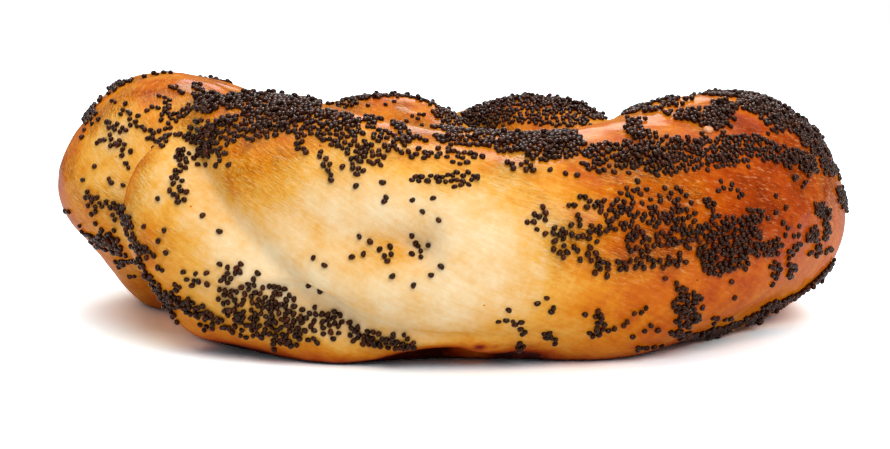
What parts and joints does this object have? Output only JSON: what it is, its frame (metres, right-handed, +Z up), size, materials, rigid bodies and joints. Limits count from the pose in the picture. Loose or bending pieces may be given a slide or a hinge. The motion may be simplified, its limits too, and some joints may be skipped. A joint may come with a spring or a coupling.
{
  "type": "poppy seed bagel",
  "caption": "Twisted ring bagel with a glossy golden crust, a lapped join at the front left and poppy seeds strewn over its crown and sides.",
  "frame": {"origin": "under the middle of the bagel, on the surface that it rests on", "axes": "+Z up through the hole, +X to the right end and -Y towards the viewer, with the lapped join at the front left"},
  "size_m": [0.1382, 0.138, 0.0426],
  "materials": {
    "crust": "baked dough crust, egg-washed, pale cream to deep red-brown",
    "poppy_seed": "dry blue-black and brown seed coats"
  },
  "bodies": {
    "root": {"bagel": "crust"}
  },
  "joints": []
}
